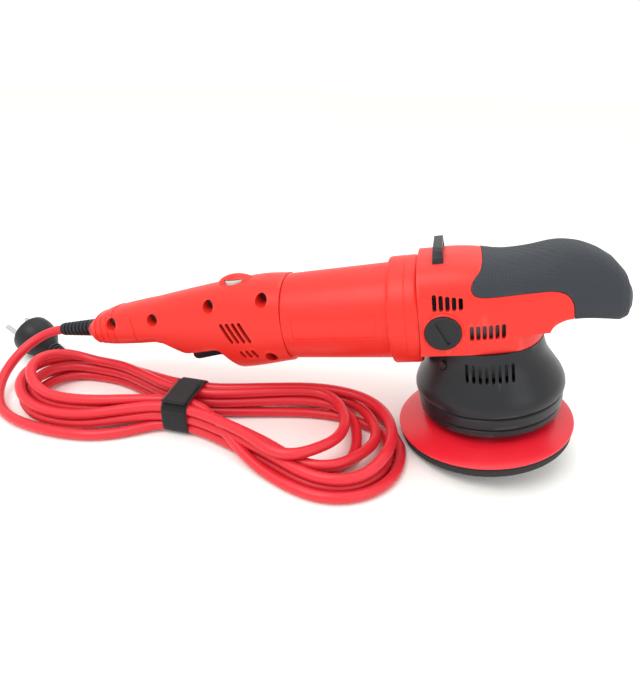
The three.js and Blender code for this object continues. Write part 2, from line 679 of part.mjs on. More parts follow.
// Along the plug's own axis, from the end of its strain relief to the tips of its pins.
function onPlug(geometry) {
  return geometry.rotateY(Math.PI / 2 - PLUG_RISE).rotateZ(PLUG_TURN).translate(...PLUG_START);
}

function plugParts() {
  const body = [[0, 0], [5, 0], [7, 24], [11, 28], [15.5, 36], [18.2, 43], [18.2, 50], [16, 53], [0, 53]];
  const pin = (y) => onPlug(turned([[0, 53.3], [2.4, 53.3], [2.4, 71], [1.4, 72.5], [0, 72.5]], 8)
    .translate(0, y, 0));
  return [
    part('plug_body', onPlug(turned(body, 18)), BLACK_PLASTIC),
    part('plug_pin_left', pin(-9.5), STEEL),
    part('plug_pin_right', pin(9.5), STEEL),
  ];
}

function strap() {
  const { from, to, y, thick, height } = STRAP;
  const outside = solid(block([from, y[0], FLOOR], [to, y[1], FLOOR + height]));
  const inside = block([from - 1, y[0] + thick, FLOOR + thick],
    [to + 1, y[1] - thick, FLOOR + height - thick]);
  return cut(outside, solid(inside));
}

// The rear coil with the waist that the strap is drawn round.
function rearCoil() {
  const { from, to, y, thick, height } = STRAP;
  const inset = thick + GAP;
  const waist = block([from - 6, y[0] + inset, FLOOR + inset],
    [to + 3, y[1] - inset, FLOOR + height - inset]);
  return joined(solid(ovalCoil(COILS.rear)), solid(waist));
}

function cordParts() {
  return [
    part('cord_coil_rear', rearCoil(), RED_CORD),
    part('cord_coil_front', ovalCoil(COILS.front), RED_CORD),
    part('cord_strap', strap(), WEBBING),
    part('cord_lead', tube(LEAD_ROUTE, CORD_R, 8, 22), RED_CORD),
    part('cord_tail', tube(TAIL_ROUTE, CORD_R, 8, 5), RED_CORD),
    ...plugParts(),
  ];
}

// ---------------------------------------------------------------- machine
const machine = new THREE.Group();
machine.rotation.y = -LEAN;
machine.add(
  plateParts(),
  eccentricParts(),
  armatureParts(),
  motorParts(),
  gearHeadParts(),
  headParts(),
  part('motor_housing', motorHousing(), RED_PLASTIC),
  handleParts(),
);

const group = new THREE.Group();
group.add(machine, ...cordParts());
export default group;
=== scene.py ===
# A dual action polisher lying beside its tied mains lead, drawn over its CAD frame. The machine's own
# parts are shaped upright in millimetres, spindle along +Z, and are leaned back and scaled to metres
# when they are finished.
import json
import math

import bmesh
import bpy
from mathutils import Matrix, Vector


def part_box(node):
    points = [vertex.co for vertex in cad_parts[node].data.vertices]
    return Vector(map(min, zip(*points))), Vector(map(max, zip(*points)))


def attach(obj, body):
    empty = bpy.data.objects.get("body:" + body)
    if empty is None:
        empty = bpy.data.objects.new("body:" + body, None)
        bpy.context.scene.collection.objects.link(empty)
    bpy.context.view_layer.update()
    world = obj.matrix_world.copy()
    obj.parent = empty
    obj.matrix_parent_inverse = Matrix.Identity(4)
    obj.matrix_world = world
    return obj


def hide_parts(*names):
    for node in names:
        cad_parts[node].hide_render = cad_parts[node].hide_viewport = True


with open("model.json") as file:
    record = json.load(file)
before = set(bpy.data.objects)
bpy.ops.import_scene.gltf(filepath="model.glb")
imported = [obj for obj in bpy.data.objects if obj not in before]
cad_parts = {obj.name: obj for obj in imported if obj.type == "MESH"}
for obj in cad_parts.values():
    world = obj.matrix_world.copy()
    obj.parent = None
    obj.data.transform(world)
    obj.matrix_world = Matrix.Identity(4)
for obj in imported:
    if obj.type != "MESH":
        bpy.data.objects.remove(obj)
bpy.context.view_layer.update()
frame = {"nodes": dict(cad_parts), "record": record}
scene = bpy.context.scene


# ---------------------------------------------------------------- camera, light and floor
# The camera looks down a little on the machine's right side. A pale round floor lies under it, and there are
# three large soft lamps: a key high at the front left, a weaker fill from the right and one high behind.
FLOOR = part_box("cord_strap")[0].z
camera = bpy.data.objects.new("camera", bpy.data.cameras.new("camera"))
scene.collection.objects.link(camera)
camera.data.lens = 26.74
camera.data.clip_start = 0.01
right = Vector((0.97389, 0.22526, 0.02799))
above = Vector((-0.13217, 0.46251, 0.87671))
behind = Vector((0.18454, -0.85752, 0.48021))
aim = Matrix((right, above, behind)).transposed().to_4x4()
camera.matrix_world = Matrix.Translation((-0.0601, -0.3497, 0.2379)) @ aim
scene.camera = camera
scene.view_settings.view_transform = "Standard"


def soft_lamp(name, place, aim, size, power, colour=(1, 1, 1)):
    lamp = bpy.data.objects.new(name, bpy.data.lights.new(name, "AREA"))
    lamp.data.shape = "DISK"
    lamp.data.size = size
    lamp.data.energy = power
    lamp.data.color = colour
    lamp.location = place
    lamp.rotation_euler = (Vector(aim) - Vector(place)).to_track_quat("-Z", "Y").to_euler()
    scene.collection.objects.link(lamp)


soft_lamp("key", (-0.5, -0.6, 1.3), (-0.15, 0, 0.03), 0.9, 8.0, (1.0, 0.985, 0.96))
soft_lamp("fill", (0.9, -0.9, 0.7), (-0.1, 0, 0.05), 0.8, 2.0, (0.95, 0.97, 1.0))
soft_lamp("top", (-0.1, 0.5, 1.3), (-0.15, 0, 0.03), 1.2, 4.0)

world = bpy.data.worlds.new("pale studio")
world.use_nodes = True
world.node_tree.nodes["Background"].inputs["Color"].default_value = (1.0, 0.995, 0.975, 1)
world.node_tree.nodes["Background"].inputs["Strength"].default_value = 1.04
scene.world = world

disc = bmesh.new()
bmesh.ops.create_circle(disc, cap_ends=True, radius=6.0, segments=64)
bmesh.ops.translate(disc, verts=disc.verts, vec=(-0.15, 0, FLOOR - 0.0001))
floor_mesh = bpy.data.meshes.new("floor")
disc.to_mesh(floor_mesh)
disc.free()
floor = bpy.data.objects.new("floor", floor_mesh)
scene.collection.objects.link(floor)
floor_paint = bpy.data.materials.new("pale paper")
floor_paint.use_nodes = True
floor_shader = floor_paint.node_tree.nodes["Principled BSDF"]
floor_shader.inputs["Base Color"].default_value = (0.98, 0.975, 0.955, 1)
floor_shader.inputs["Roughness"].default_value = 0.9
floor_mesh.materials.append(floor_paint)


# ---------------------------------------------------------------- mains lead
# A round two-core lead in a satin red jacket. It leaves the handle through its sleeve, runs down to the
# surface, is wound into a bow that a strap holds in the middle, and ends in its plug. Row frame, metres.
CORD = 0.008
PITCH = 0.0082                   # between turns that lie side by side
CORD_Z = FLOOR + 0.0043          # the middle of the lead where it lies on the floor
FIRST_LAYER = FLOOR + 0.0042     # and of the lowest turns in the bow
LEAD = [(-0.36625, 0, 0.02825), (-0.377, -0.0005, 0.0256), (-0.388, -0.006, 0.0205),
        (-0.3965, -0.017, 0.0135), (-0.3995, -0.032, 0.006), (-0.397, -0.048, -0.0005),
        (-0.389, -0.063, -0.0055), (-0.376, -0.075, CORD_Z), (-0.358, -0.0835, CORD_Z),
        (-0.336, -0.088, CORD_Z), (-0.312, -0.089, CORD_Z), (-0.290, -0.0865, CORD_Z),
        (-0.270, -0.078, CORD_Z), (-0.256, -0.068, CORD_Z + 0.0006)]
TAIL = [(-0.300, 0.0052, CORD_Z), (-0.318, 0.0068, CORD_Z), (-0.332, 0.0062, CORD_Z),
        (-0.346, 0.0046, CORD_Z), (-0.358, 0.0034, CORD_Z + 0.0004), (-0.3705, 0.0039, FLOOR + 0.0050)]
STRAP_X = (-0.245, -0.231, -0.217)      # a turn runs straight through the strap past these
STRAP_MIDDLE_Y = -0.0439
STRAP_PITCH = 0.0081                    # between the turns in the strap, both ways
STRAP_FIRST_ROW = FLOOR + 0.0057
# The places of the turns on each side of the strap: column (0 outer, 1 inner) and row. A turn of the front
# lobe leads from one place to the next, so the bow fills from the surface upwards.
PLACES = [(0, 0), (1, 0), (1, 1), (0, 1), (0, 2), (1, 2)]
SHIFT_AT = [60, 30, 5, -25, -60]        # where on the front end each turn moves to its next place, degrees
REAR_END = Vector((-0.3352, -0.0400, 0))
REAR_R = 0.0378
REAR_NECK_X = -0.306                    # where the rear turns close in towards the strap
REAR_LIFT = 0.0024                      # how much higher each turn stands at its bend than the one before
FRONT_END = Vector((-0.1105, -0.0560, 0))
FRONT_R = 0.0485
FRONT_TURN = -0.22                      # the lobe points a little away from the machine
FAR_STRETCH = 1.3                       # the lobe is fuller on the side of the machine
SHORTER = [0.0, 0.016, 0.010, -0.001, 0.026, 0.0]     # how much each front turn falls short of the longest
PLATE_CLEAR = 0.0752                    # from the spindle to the middle of the nearest turn


def strap_place(side, column, row):
    """Where a turn passes through the strap: side is -1 for the near side and 1 for the far side."""
    return STRAP_MIDDLE_Y + side * STRAP_PITCH * (2 - column), STRAP_FIRST_ROW + STRAP_PITCH * row


def strap_pass(side, column, row, forwards):
    """Straight through the strap, towards the front lobe (1) or the rear one (-1)."""
    y, z = strap_place(side, column, row)
    points = [(x, y, z) for x in STRAP_X]
    return points[::-1] if forwards < 0 else points


def rear_turn(k):
    """Round the rear lobe, from the far side of the strap to its near side."""
    column, row = PLACES[k]
    layer = row if column == 1 else row - 1          # the outer turns start a layer lower than in the strap
    radius = REAR_R - PITCH * column - 0.0006 * (k % 3)
    z = FIRST_LAYER + PITCH * layer
    slip = 0.0012 * math.sin(2.4 * k + 0.5)          # no two turns lie quite alike
    points = [(REAR_NECK_X + slip, REAR_END.y + radius * 0.96, z)]
    for degrees in range(85, 276, 19):
        a = math.radians(degrees)
        lift = REAR_LIFT * k * max(0, -math.cos(a))
        points.append((REAR_END.x + slip + radius * math.cos(a), REAR_END.y + radius * math.sin(a), z + lift))
    points.append((REAR_NECK_X + slip, REAR_END.y - radius * 0.96, z))
    return points


def eased(value):
    """From 0 to 1 without a kink at either end."""
    value = min(max(value, 0.0), 1.0)
    return value * value * (3 - 2 * value)


def front_turn(k):
    """Round the front lobe, from the near side of the strap to its far side; the last turn lies outside."""
    points = []
    last = k == len(PLACES) - 1
    for degrees in range(-100, 101, 16):
        if last:
            column, row = -1.0, 0.0
        else:
            share = eased((degrees - SHIFT_AT[k] + 16) / 32)
            (c0, r0), (c1, r1) = PLACES[k], PLACES[k + 1]
            column, row = c0 + (c1 - c0) * share, r0 + (r1 - r0) * share
        radius = FRONT_R - PITCH * (column + 1)
        a = math.radians(degrees) + FRONT_TURN
        stretch = FAR_STRETCH if math.sin(a) > 0 else 1
        x = FRONT_END.x - SHORTER[k] + radius * math.cos(a)
        y = FRONT_END.y + SHORTER[k] * 0.25 + radius * math.sin(a) * stretch
        points.append((x, y, FIRST_LAYER + PITCH * row))
    side = Vector((math.cos(FRONT_TURN), math.sin(FRONT_TURN), 0))
    near, far = Vector(points[0]), Vector(points[-1])
    neck = 0.030 - 0.6 * SHORTER[k]
    rise = 0.0012 if k else 0            # only the first turn stays on the floor on its way to the strap
    first = near - side * neck + Vector((0, 0.006, rise))
    final = far - side * neck + Vector((0, -0.006, rise))
    return [tuple(first), *points, tuple(final)]


route = list(LEAD)
route += strap_pass(-1, 0, 0, 1)
for k in range(len(PLACES)):
    route += front_turn(k)
    if k < len(PLACES) - 1:
        route += strap_pass(1, *PLACES[k + 1], -1)
        route += rear_turn(k + 1)
        route += strap_pass(-1, *PLACES[k + 1], 1)
route += strap_pass(1, 0, 0, -1)
route += TAIL


def smooth_line(points, step):
    """A centripetal Catmull-Rom curve through the points, sampled about every step."""
    points = [Vector(p) for p in points]
    ends = [2 * points[0] - points[1], *points, 2 * points[-1] - points[-2]]
    line = []
    for p0, p1, p2, p3 in zip(ends, ends[1:], ends[2:], ends[3:]):
        d1, d2, d3 = ((b - a).length ** 0.5 for a, b in ((p0, p1), (p1, p2), (p2, p3)))
        m1 = (p1 - p0) / d1 - (p2 - p0) / (d1 + d2) + (p2 - p1) / d2
        m2 = (p2 - p1) / d2 - (p3 - p1) / (d2 + d3) + (p3 - p2) / d3
        m1, m2 = m1 * d2, m2 * d2
        count = max(2, round((p2 - p1).length / step))
        for i in range(count):
            t = i / count
            line.append((2 * t**3 - 3 * t**2 + 1) * p1 + (t**3 - 2 * t**2 + t) * m1
                        + (3 * t**2 - 2 * t**3) * p2 + (t**3 - t**2) * m2)
    return [*line, points[-1]]


EVENED = 14                             # passes in which a stiff lead evens out its bends
centreline = smooth_line(route, 0.0035)
for _ in range(EVENED):
    centreline = [centreline[0], *[(a + 2 * b + c) / 4 for a, b, c in
                                   zip(centreline, centreline[1:], centreline[2:])], centreline[-1]]
for place in centreline:
    place.z = max(place.z, FLOOR + CORD / 2)
    reach = math.hypot(place.x, place.y)
    if reach < PLATE_CLEAR:
        place.x, place.y = place.x * PLATE_CLEAR / reach, place.y * PLATE_CLEAR / reach
curve = bpy.data.curves.new("mains_lead", "CURVE")
curve.dimensions = "3D"
curve.bevel_depth = 1.0                 # times each point's radius
curve.bevel_resolution = 4
curve.use_fill_caps = True
spline = curve.splines.new("POLY")
spline.points.add(len(centreline) - 1)
for point, place in zip(spline.points, centreline):
    point.co = (*place, 1)
    point.radius = CORD / 2
spline.use_smooth = True
lead = bpy.data.objects.new("mains_lead", curve)
scene.collection.objects.link(lead)
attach(lead, "machine")
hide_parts("cord_lead", "cord_tail", "cord_coil_rear", "cord_coil_front")


# An injection-moulded or extruded surface: a fine grain in the height, a broad mottle in the colour and
# the gloss, and a mask of rubbed edges. Every plastic, rubber and metal below uses it with its own values.
def group_socket(tree, name, way, kind="NodeSocketFloat", value=None):
    socket = tree.interface.new_socket(name=name, in_out=way, socket_type=kind)
    if value is not None:
        socket.default_value = value


def add_node(tree, kind, **values):
    node = tree.nodes.new(kind)
    for name, value in values.items():
        if hasattr(node, name):
            setattr(node, name, value)
        else:
            node.inputs[name].default_value = value
    return node


def mathed(tree, operation, a, b, clamp=False):
    node = add_node(tree, "ShaderNodeMath", operation=operation, use_clamp=clamp)
    for socket, value in zip(node.inputs, (a, b)):
        if isinstance(value, bpy.types.NodeSocket):
            tree.links.new(value, socket)
        else:
            socket.default_value = value
    return node.outputs[0]


surface = bpy.data.node_groups.new("moulded surface", "ShaderNodeTree")
group_socket(surface, "Position", "INPUT", "NodeSocketVector")
group_socket(surface, "Colour", "INPUT", "NodeSocketColor")
group_socket(surface, "Rubbed Colour", "INPUT", "NodeSocketColor")
group_socket(surface, "Roughness", "INPUT", value=0.4)
group_socket(surface, "Grain Scale", "INPUT", value=900.0)
group_socket(surface, "Mottle", "INPUT", value=0.06)
group_socket(surface, "Wear", "INPUT", value=0.2)
group_socket(surface, "Colour", "OUTPUT", "NodeSocketColor")
group_socket(surface, "Roughness", "OUTPUT")
group_socket(surface, "Height", "OUTPUT")
into = add_node(surface, "NodeGroupInput")
out = add_node(surface, "NodeGroupOutput")
grain = add_node(surface, "ShaderNodeTexNoise", Detail=3.0)
broad = add_node(surface, "ShaderNodeTexNoise", Scale=22.0, Detail=4.0)
smudge = add_node(surface, "ShaderNodeTexNoise", Scale=70.0, Detail=6.0, Roughness=0.7)
surface.links.new(into.outputs["Position"], grain.inputs["Vector"])
surface.links.new(into.outputs["Grain Scale"], grain.inputs["Scale"])
surface.links.new(into.outputs["Position"], broad.inputs["Vector"])
surface.links.new(into.outputs["Position"], smudge.inputs["Vector"])
edges = add_node(surface, "ShaderNodeNewGeometry")
edge_mask = add_node(surface, "ShaderNodeMapRange", clamp=True)
edge_mask.inputs["From Min"].default_value = 0.53
edge_mask.inputs["From Max"].default_value = 0.62
surface.links.new(edges.outputs["Pointiness"], edge_mask.inputs["Value"])
worn = mathed(surface, "MULTIPLY", edge_mask.outputs["Result"], smudge.outputs["Fac"], True)
worn = mathed(surface, "MULTIPLY", worn, into.outputs["Wear"], True)
shade = mathed(surface, "SUBTRACT", broad.outputs["Fac"], 0.5)
shade = mathed(surface, "MULTIPLY", shade, into.outputs["Mottle"])
shade = mathed(surface, "ADD", shade, 1.0)
tinted = add_node(surface, "ShaderNodeVectorMath", operation="SCALE")
surface.links.new(into.outputs["Colour"], tinted.inputs[0])
surface.links.new(shade, tinted.inputs["Scale"])
mixed = add_node(surface, "ShaderNodeMix", data_type="RGBA")
surface.links.new(worn, mixed.inputs["Factor"])
surface.links.new(tinted.outputs[0], mixed.inputs[6])
surface.links.new(into.outputs["Rubbed Colour"], mixed.inputs[7])
surface.links.new(mixed.outputs[2], out.inputs["Colour"])
gloss = mathed(surface, "SUBTRACT", smudge.outputs["Fac"], 0.5)
gloss = mathed(surface, "MULTIPLY", gloss, 0.18)
gloss = mathed(surface, "ADD", gloss, into.outputs["Roughness"], True)
surface.links.new(gloss, out.inputs["Roughness"])
surface.links.new(grain.outputs["Fac"], out.inputs["Height"])


def finish_material(name, colour, rough, grain_scale=900.0, depth=0.02, rubbed=None, metallic=0.0,
                    mottle=0.08, wear=0.3, coat=0.0, sheen=0.0, specular=0.5, pattern=None):
    """A Principled material on the moulded surface; pattern(tree, position, height) may add to its height."""
    material = bpy.data.materials.new(name)
    material.use_nodes = True
    tree = material.node_tree
    shader = tree.nodes["Principled BSDF"]
    place = add_node(tree, "ShaderNodeTexCoord")
    group = add_node(tree, "ShaderNodeGroup", node_tree=surface)
    tree.links.new(place.outputs["Object"], group.inputs["Position"])
    group.inputs["Colour"].default_value = (*colour, 1)
    group.inputs["Rubbed Colour"].default_value = (*(rubbed or [min(1, c * 1.5 + 0.03) for c in colour]), 1)
    group.inputs["Roughness"].default_value = rough
    group.inputs["Grain Scale"].default_value = grain_scale
    group.inputs["Mottle"].default_value = mottle
    group.inputs["Wear"].default_value = wear
    height = group.outputs["Height"]
    if pattern:
        height = pattern(tree, place.outputs["Object"], height)
    bump = add_node(tree, "ShaderNodeBump", Strength=1.0, Distance=depth / 1000)
    tree.links.new(height, bump.inputs["Height"])
    tree.links.new(bump.outputs["Normal"], shader.inputs["Normal"])
    tree.links.new(group.outputs["Colour"], shader.inputs["Base Color"])
    tree.links.new(group.outputs["Roughness"], shader.inputs["Roughness"])
    shader.inputs["Metallic"].default_value = metallic
    shader.inputs["Specular IOR Level"].default_value = specular
    shader.inputs["Coat Weight"].default_value = coat
    shader.inputs["Coat Roughness"].default_value = 0.25
    shader.inputs["Sheen Weight"].default_value = sheen
    return material


cord_jacket = finish_material("cord jacket", (0.66, 0.02, 0.034), 0.34, 1400, 0.012, mottle=0.12,
                              coat=0.12, specular=0.35)
curve.materials.append(cord_jacket)


# ---------------------------------------------------------------- plug
# A round plug for a two-pole socket, moulded in one piece with its ribbed tapered neck round the ends of the
# two pins, which stay as the CAD has them.
PLUG_TURN = math.radians(164)
PLUG_RISE = math.radians(17)
plug_place = (Matrix.Translation((-0.371, 0.004, FLOOR + 0.0052)) @ Matrix.Rotation(PLUG_TURN, 4, "Z")
              @ Matrix.Rotation(math.pi / 2 - PLUG_RISE, 4, "Y") @ Matrix.Scale(0.001, 4))
LEAN = math.radians(10.9)
leaned = Matrix.Rotation(-LEAN, 4, "Y") @ Matrix.Scale(0.001, 4)


def turned(profile, steps=96, axis=(0, 0, 1)):
    """A body of revolution from [radius, height] points, closed on the axis or on itself."""
    bm = bmesh.new()
    verts = [bm.verts.new((r, 0, h)) for r, h in profile]
    edges = [bm.edges.new(pair) for pair in zip(verts, verts[1:])]
    if profile[0][0] > 0 or profile[-1][0] > 0:
        edges.append(bm.edges.new((verts[-1], verts[0])))
    bmesh.ops.spin(bm, geom=verts + edges, cent=(0, 0, 0), axis=(0, 0, 1), angle=2 * math.pi,
                   steps=steps, use_merge=True)
    bmesh.ops.remove_doubles(bm, verts=bm.verts, dist=0.001)
    if axis == (1, 0, 0):
        bmesh.ops.rotate(bm, verts=bm.verts, cent=(0, 0, 0), matrix=Matrix.Rotation(math.pi / 2, 3, "Y"))
    return bm


def placed(bm, name, place=leaned, sharp=35, bevel=0.0):
    """Turns a bmesh into an object in the row frame, smooth apart from its sharp edges."""
    bm.normal_update()
    bmesh.ops.recalc_face_normals(bm, faces=bm.faces)
    bmesh.ops.transform(bm, matrix=place, space=Matrix(), verts=bm.verts)
    mesh = bpy.data.meshes.new(name)
    bm.to_mesh(mesh)
    bm.free()
    mesh.shade_smooth()
    mesh.set_sharp_from_angle(angle=math.radians(sharp))
    piece = bpy.data.objects.new(name, mesh)
    scene.collection.objects.link(piece)
    if bevel:
        edge = piece.modifiers.new("edges", "BEVEL")
        edge.width = bevel / 1000
        edge.segments = 2
        edge.limit_method = "ANGLE"
        edge.angle_limit = math.radians(sharp)
        flat = piece.modifiers.new("flat faces", "WEIGHTED_NORMAL")
        flat.keep_sharp = True
    return piece


def dress(piece, material, slot, body, *nodes):
    piece.data.materials.clear()
    piece.data.materials.append(material)
    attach(piece, body)
    if nodes:
        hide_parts(*nodes)
    return piece


black_plastic = finish_material("black plastic", (0.012, 0.013, 0.016), 0.42, 1300, 0.02,
                                rubbed=(0.09, 0.09, 0.1), wear=0.5, specular=0.3)
plug_profile = [[0, 0], [5.4, 0]]
for i in range(7):
    rib, groove, start = 5.4 + 0.25 * i, 4.5 + 0.25 * i, 3.1 * i
    plug_profile += [[rib, start + 1], [rib, start + 2.7], [groove, start + 2.9], [groove, start + 3.9]]
plug_profile += [[7.4, 24], [8.5, 26.5], [11, 29], [14, 33], [16.3, 37.5], [17.8, 42], [18.2, 45],
                 [18.2, 50.2], [17.7, 51.4], [16.4, 52.2], [14.6, 52.3], [14.2, 53], [0, 53]]
plug = placed(turned(plug_profile), "plug_moulding", plug_place, sharp=40)
dress(plug, black_plastic, "black_plastic", "machine", "plug_body")


# ---------------------------------------------------------------- strap
# A hook-and-loop strap of black brushed webbing drawn round the waist of the bow, with its free end folded
# over on top and a row of red stitches along that end's rear edge.
STRAP_LOW, STRAP_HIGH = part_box("cord_strap")


def woven(tree, position, height):
    """Warp and weft, as two sets of fine waves."""
    for direction in ("X", "Y"):
        wave = add_node(tree, "ShaderNodeTexWave", bands_direction=direction, Scale=420.0, Distortion=1.5)
        tree.links.new(position, wave.inputs["Vector"])
        height = mathed(tree, "ADD", height, wave.outputs["Fac"])
    return height


webbing = finish_material("webbing", (0.008, 0.008, 0.01), 0.9, 2600, 0.25, rubbed=(0.05, 0.05, 0.055),
                          mottle=0.5, wear=0.6, sheen=0.15, specular=0.2, pattern=woven)


def strap_band():
    """The band's section round the turns of the lead, carried across its width."""
    y0, y1 = STRAP_LOW.y + 0.0008, STRAP_HIGH.y - 0.0008
    z0, z1 = STRAP_LOW.z + 0.0008, STRAP_LOW.z + 0.0286
    corner = 0.0075
    bm = bmesh.new()
    outline = []
    for cy, cz, start in ((y0, z0, 180), (y1, z0, 270), (y1, z1, 0), (y0, z1, 90)):
        inner_y = cy + corner if cy == y0 else cy - corner
        inner_z = cz + corner if cz == z0 else cz - corner
        for degrees in range(start, start + 91, 15):
            a = math.radians(degrees)
            sag = 0.0008 * math.sin(inner_y * 900) if cz == z1 else 0
            outline.append(bm.verts.new((STRAP_LOW.x, inner_y + corner * math.cos(a),
                                         inner_z + corner * math.sin(a) + sag)))
    edges = [bm.edges.new(pair) for pair in zip(outline, outline[1:] + outline[:1])]
    for _ in range(8):
        made = bmesh.ops.extrude_edge_only(bm, edges=edges)["geom"]
        moved = [v for v in made if isinstance(v, bmesh.types.BMVert)]
        edges = [e for e in made if isinstance(e, bmesh.types.BMEdge) and
                 all(v in moved for v in e.verts)]
        bmesh.ops.translate(bm, verts=moved, vec=((STRAP_HIGH.x - STRAP_LOW.x) / 8, 0, 0))
    return bm


band = placed(strap_band(), "strap_band", Matrix(), sharp=60)
skin = band.modifiers.new("thickness", "SOLIDIFY")
skin.thickness = 0.0013
skin.offset = 0
rounding = band.modifiers.new("edges", "BEVEL")
rounding.width = 0.0004
rounding.segments = 2
rounding.limit_method = "ANGLE"
dress(band, webbing, "webbing", "machine", "cord_strap")

FLAP_MIDDLE = (-0.231, -0.0505)


def flap_top(w):
    """The height of the folded end along its length, which w tells from -1 to 1."""
    return STRAP_LOW.z + 0.0298 + 0.00035 * (w + 1) ** 2 - 0.0004 * abs(w)


tail_flap = bmesh.new()
bmesh.ops.create_grid(tail_flap, x_segments=8, y_segments=14, size=1)
for v in tail_flap.verts:
    u, w = v.co.x, v.co.y
    v.co = (FLAP_MIDDLE[0] + 0.0092 * u, FLAP_MIDDLE[1] + 0.0145 * w, flap_top(w) + 0.0002 * u * u)
flap = placed(tail_flap, "strap_tail", Matrix(), sharp=60)
skin = flap.modifiers.new("thickness", "SOLIDIFY")
skin.thickness = 0.0011
skin.offset = 1
dress(flap, webbing, "webbing", "machine")

red_thread = finish_material("red thread", (0.6, 0.02, 0.03), 0.6, 2000, 0.05, sheen=0.4)
stitches = bmesh.new()
for i in range(13):
    w = (i - 6) / 7
    middle = Matrix.Translation((FLAP_MIDDLE[0] - 0.0081, FLAP_MIDDLE[1] + 0.0145 * w, flap_top(w) + 0.0013))
    along = Matrix.Rotation(math.pi / 2, 4, "X") @ Matrix.Scale(1.9, 4, (0, 0, 1))
    bmesh.ops.create_icosphere(stitches, subdivisions=1, radius=0.0005, matrix=middle @ along)
sewn = placed(stitches, "strap_stitches", Matrix(), sharp=180)
dress(sewn, red_thread, "red_cord", "machine")


# ---------------------------------------------------------------- backing plate
# The plate is one turned and moulded disc of hard red urethane with a long bevel; a closed-cell cushion is
# bonded under it, and under that the black hook face that holds the pad.
ECCENTRIC = 7.5                  # from the spindle's axis to the plate's
ECCENTRIC_AT = math.radians(233)
on_plate = leaned @ Matrix.Translation((ECCENTRIC * math.cos(ECCENTRIC_AT),
                                        ECCENTRIC * math.sin(ECCENTRIC_AT), 0))


def softened(points, share=0.3, steps=3):
    """Rounds the corners of an open outline of [a, b] points, leaving its ends where they are."""
    out = [points[0]]
    for before, corner, after in zip(points, points[1:], points[2:]):
        before, corner, after = Vector(before), Vector(corner), Vector(after)
        reach = share * min((before - corner).length, (after - corner).length)
        start = corner + (before - corner).normalized() * reach
        end = corner + (after - corner).normalized() * reach
        for i in range(steps + 1):
            t = i / steps
            out.append(list((1 - t) ** 2 * start + 2 * t * (1 - t) * corner + t * t * end))
    return [*out, points[-1]]


red_plate = finish_material("red plate", (0.78, 0.012, 0.028), 0.33, 1500, 0.01,
                            rubbed=(0.8, 0.1, 0.1), mottle=0.1, wear=0.5, coat=0.25)
plate_profile = softened([[3.1, 8], [61.6, 8], [62.5, 8.9], [62.5, 10], [58, 11.2], [44, 14.2],
                          [20, 15.3], [3.1, 15.3]], 0.25)
dress(placed(turned(plate_profile, 160), "plate_moulding", on_plate, sharp=50),
      red_plate, "red_plate", "plate", "backing_plate")


def porous(tree, position, height):
    """Fine open pores."""
    pores = add_node(tree, "ShaderNodeTexVoronoi", Scale=900.0)
    tree.links.new(position, pores.inputs["Vector"])
    return mathed(tree, "ADD", pores.outputs["Distance"], height)


foam = finish_material("cushion foam", (0.018, 0.018, 0.019), 0.85, 1100, 0.15, mottle=0.3, wear=0.3,
                       pattern=porous)
cushion_profile = softened([[5, 1], [60.4, 1], [61.2, 2.4], [61.9, 7.6], [5, 7.6]], 0.3)
dress(placed(turned(cushion_profile, 160), "plate_foam", on_plate, sharp=50),
      foam, "cushion_foam", "plate", "plate_cushion")

hooks = finish_material("hook face", (0.03, 0.03, 0.03), 0.95, 1800, 0.3, mottle=0.4, wear=0.2, sheen=0.5,
                        pattern=porous)
hook_profile = softened([[5, 0], [59.3, 0], [59.5, 0.35], [59.2, 0.7], [5, 0.7]], 0.3)
dress(placed(turned(hook_profile, 160), "plate_hooks", on_plate, sharp=50),
      hooks, "hook_fabric", "plate", "hook_disc")


# ---------------------------------------------------------------- shroud
# The bell over the eccentric is one black glass-filled moulding, ribbed round its skirt, with a row of
# cooling slots on its right and a deep screw seat on each side of the rear.
def prism(outline, low, high, along="Y"):
    """A closed prism: an outline of [a, b] points carried along Y (a is x, b is z) or Z (a is x, b is y)."""
    bm = bmesh.new()
    lift = (lambda a, b: (a, low, b)) if along == "Y" else (lambda a, b: (a, b, low))
    face = bm.faces.new([bm.verts.new(lift(a, b)) for a, b in outline])
    made = bmesh.ops.extrude_face_region(bm, geom=[face])["geom"]
    step = (0, high - low, 0) if along == "Y" else (0, 0, high - low)
    bmesh.ops.translate(bm, verts=[v for v in made if isinstance(v, bmesh.types.BMVert)], vec=step)
    bmesh.ops.recalc_face_normals(bm, faces=bm.faces)
    return bm


def block(low, high):
    """A closed box between two opposite corners."""
    bm = bmesh.new()
    size = Vector(high) - Vector(low)
    middle = (Vector(high) + Vector(low)) / 2
    bmesh.ops.create_cube(bm, size=1, matrix=Matrix.Translation(middle) @ Matrix.Diagonal((*size, 1)))
    return bm


def rod(radius, x, z, y0, y1, segments=32):
    """A closed cylinder along Y."""
    bm = bmesh.new()
    bmesh.ops.create_cone(bm, cap_ends=True, segments=segments, radius1=radius, radius2=radius,
                          depth=y1 - y0, matrix=Matrix.Translation((x, (y0 + y1) / 2, z))
                          @ Matrix.Rotation(math.pi / 2, 4, "X"))
    return bm


def slot_outline(x, low, high, width, lean=0.0):
    """A slot with round ends, upright or leaning, as points of an outline."""
    points = []
    middle = (low + high) / 2
    half = (high - low) / 2 - width / 2
    for end, start in ((half, 0), (-half, 180)):
        for degrees in range(start, start + 181, 30):
            a = math.radians(degrees)
            u, w = width / 2 * math.cos(a), end + width / 2 * math.sin(a)
            points.append([x + u * math.cos(lean) + w * math.sin(lean),
                           middle + w * math.cos(lean) - u * math.sin(lean)])
    return points


